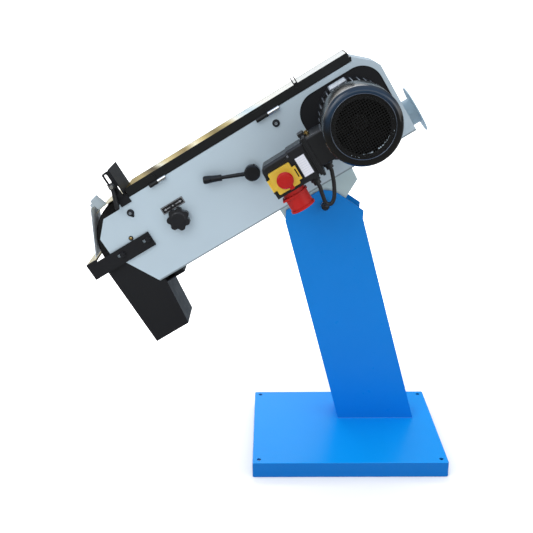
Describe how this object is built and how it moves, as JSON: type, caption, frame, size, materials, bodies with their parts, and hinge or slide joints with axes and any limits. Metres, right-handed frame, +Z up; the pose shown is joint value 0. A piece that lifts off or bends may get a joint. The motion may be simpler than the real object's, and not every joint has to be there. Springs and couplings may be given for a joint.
{
  "type": "belt grinder",
  "caption": "Pedestal belt grinder with a tilting belt head, lidded flat grinding run, rubber contact wheel, direct motor drive, spark box and dust port.",
  "frame": {"origin": "on the floor, midway between the four floor bolt holes of the base", "axes": "+Z up; +X towards the motor end of the head; -Y towards the operator side that carries the motor, lever and switch"},
  "size_m": [0.9372, 0.43, 1.038],
  "materials": {
    "blue_paint": "satin",
    "grey_paint": "satin",
    "black_paint": "satin",
    "black_motor": "satin",
    "zinc_steel": "brushed",
    "yellow_zinc": "brushed",
    "bare_steel": "machined",
    "cast_alu": "machined",
    "bearing_steel": "polished",
    "brass": "satin",
    "black_rubber": "matte",
    "belt_abrasive": "rough",
    "graphite": "matte",
    "black_plastic": "satin",
    "yellow_plastic": "satin",
    "red_plastic": "satin",
    "green_plastic": "satin",
    "label": "satin",
    "copper_iron": "matte",
    "grey_label": "satin"
  },
  "bodies": {
    "stand": {"base_plate": "blue_paint", "column_shell": "blue_paint", "pivot_bolt": "black_plastic", "pivot_washers": "zinc_steel"},
    "head": {"pivot_bracket": "grey_paint", "near_side_panel": "grey_paint", "housing_shell": "grey_paint", "abrasive_belt": "belt_abrasive", "fork_guide": "bare_steel", "tension_spring": "bare_steel", "platen_support": "black_paint", "platen": "bare_steel", "graphite_pad": "graphite", "motor_plate": "black_paint", "motor_frame": "black_motor", "motor_end_shields": "black_motor", "motor_bearings": "bearing_steel", "motor_stator": "copper_iron", "fan_cover": "black_motor", "tracking_label": "grey_label", "hinge_halves_fixed": "zinc_steel", "stop_bracket": "black_paint", "nose_sheet": "yellow_zinc", "guard_hinge_blocks": "zinc_steel", "panel_bolts": "black_paint", "spark_box": "black_paint", "dust_port": "grey_paint", "switch_housing": "black_plastic", "blank_labels": "label", "terminal_box": "black_motor", "terminal_lid": "black_motor", "brass_screws": "brass", "cable_glands": "black_plastic", "motor_cable": "black_rubber", "power_inlet": "red_plastic"},
    "motor_rotor": {"motor_rotor": "bare_steel", "motor_fan": "black_plastic", "drive_wheel": "cast_alu"},
    "wheel_fork": {"wheel_fork": "bare_steel", "contact_wheel_axle": "bare_steel"},
    "contact_wheel": {"contact_wheel_hub": "cast_alu", "contact_wheel_tyre": "black_rubber", "contact_wheel_bearings": "bearing_steel"},
    "tension_lever": {"tension_lever_arm": "black_paint", "tension_lever_handle": "black_plastic"},
    "tracking_knob": {"tracking_knob": "black_plastic"},
    "top_lid": {"lid_skin": "yellow_zinc", "lid_flange": "black_paint"},
    "front_guard": {"front_guard": "zinc_steel"},
    "workpiece_stop": {"workpiece_stop": "black_paint"},
    "stop_clamp_lever": {"stop_clamp_lever": "black_plastic"},
    "tool_rest": {"tool_rest_arm": "black_paint", "tool_rest_table": "yellow_zinc"},
    "access_door": {"access_door": "grey_paint", "door_handle": "black_plastic"},
    "flap_cover": {"flap_cover": "yellow_plastic"},
    "stop_mushroom": {"stop_mushroom": "red_plastic"},
    "start_button": {"start_button": "green_plastic"},
    "stop_button": {"stop_button": "red_plastic"}
  },
  "joints": [
    {"name": "head_tilt", "type": "hinge", "parent": "stand", "child": "head", "pos_m": [-0.06, 0.0835, 0.6555], "axis": [0, -1, 0], "range_deg": [-31, 4]},
    {"name": "drive_spin", "type": "hinge", "parent": "head", "child": "motor_rotor", "pos_m": [0.00389, 0.095, 0.89536], "axis": [0, -1, 0], "continuous": true},
    {"name": "tension_lever_turn", "type": "hinge", "parent": "head", "child": "tension_lever", "pos_m": [-0.24666, 0.015, 0.7454], "axis": [0, -1, 0], "range_deg": [0, 90]},
    {"name": "fork_slide", "type": "slide", "parent": "head", "child": "wheel_fork", "axis": [0.8581, 0, 0.5135], "range_m": [0, 0.0099]},
    {"name": "contact_wheel_spin", "type": "hinge", "parent": "wheel_fork", "child": "contact_wheel", "pos_m": [-0.54098, 0.095, 0.56926], "axis": [0, -1, 0], "continuous": true},
    {"name": "tracking_knob_turn", "type": "hinge", "parent": "head", "child": "tracking_knob", "pos_m": [-0.43742, 0.015, 0.62599], "axis": [0, -1, 0], "range_deg": [-180, 180]},
    {"name": "lid_hinge", "type": "hinge", "parent": "head", "child": "top_lid", "pos_m": [-0.28059, 0.023, 0.84688], "axis": [0.8581, 0, 0.5135], "range_deg": [0, 100]},
    {"name": "front_guard_hinge", "type": "hinge", "parent": "head", "child": "front_guard", "pos_m": [-0.66247, 0.089, 0.65737], "axis": [0, 1, 0], "range_deg": [0, 100]},
    {"name": "stop_height", "type": "slide", "parent": "head", "child": "workpiece_stop", "axis": [-0.5135, 0, 0.8581], "range_m": [-0.0015, 0.015]},
    {"name": "stop_clamp_turn", "type": "hinge", "parent": "head", "child": "stop_clamp_lever", "pos_m": [-0.60376, 0.015, 0.71116], "axis": [0, 1, 0], "range_deg": [-60, 60]},
    {"name": "tool_rest_slide", "type": "slide", "parent": "head", "child": "tool_rest", "axis": [-0.8581, 0, -0.5135], "range_m": [-0.01, 0.003]},
    {"name": "door_hinge", "type": "hinge", "parent": "head", "child": "access_door", "pos_m": [-0.12601, 0.155, 0.66844], "axis": [-0.8581, 0, -0.5135], "range_deg": [0, 90]},
    {"name": "flap_hinge", "type": "hinge", "parent": "head", "child": "flap_cover", "pos_m": [-0.19891, -0.1045, 0.73669], "axis": [0.5135, 0, -0.8581], "range_deg": [0, 110]},
    {"name": "mushroom_press", "type": "slide", "parent": "flap_cover", "child": "stop_mushroom", "axis": [0, 1, 0], "range_m": [0, 0.003], "stiffness_N_per_m": 400},
    {"name": "start_press", "type": "slide", "parent": "head", "child": "start_button", "axis": [0, 1, 0], "range_m": [0, 0.002], "stiffness_N_per_m": 400},
    {"name": "stop_press", "type": "slide", "parent": "head", "child": "stop_button", "axis": [0, 1, 0], "range_m": [0, 0.002], "stiffness_N_per_m": 400}
  ],
  "couplings": [
    {"joint": "tension_lever_turn", "follows": "fork_slide", "rad_per_m": 158.6},
    {"joint": "contact_wheel_spin", "follows": "drive_spin", "ratio": 0.89292}
  ]
}
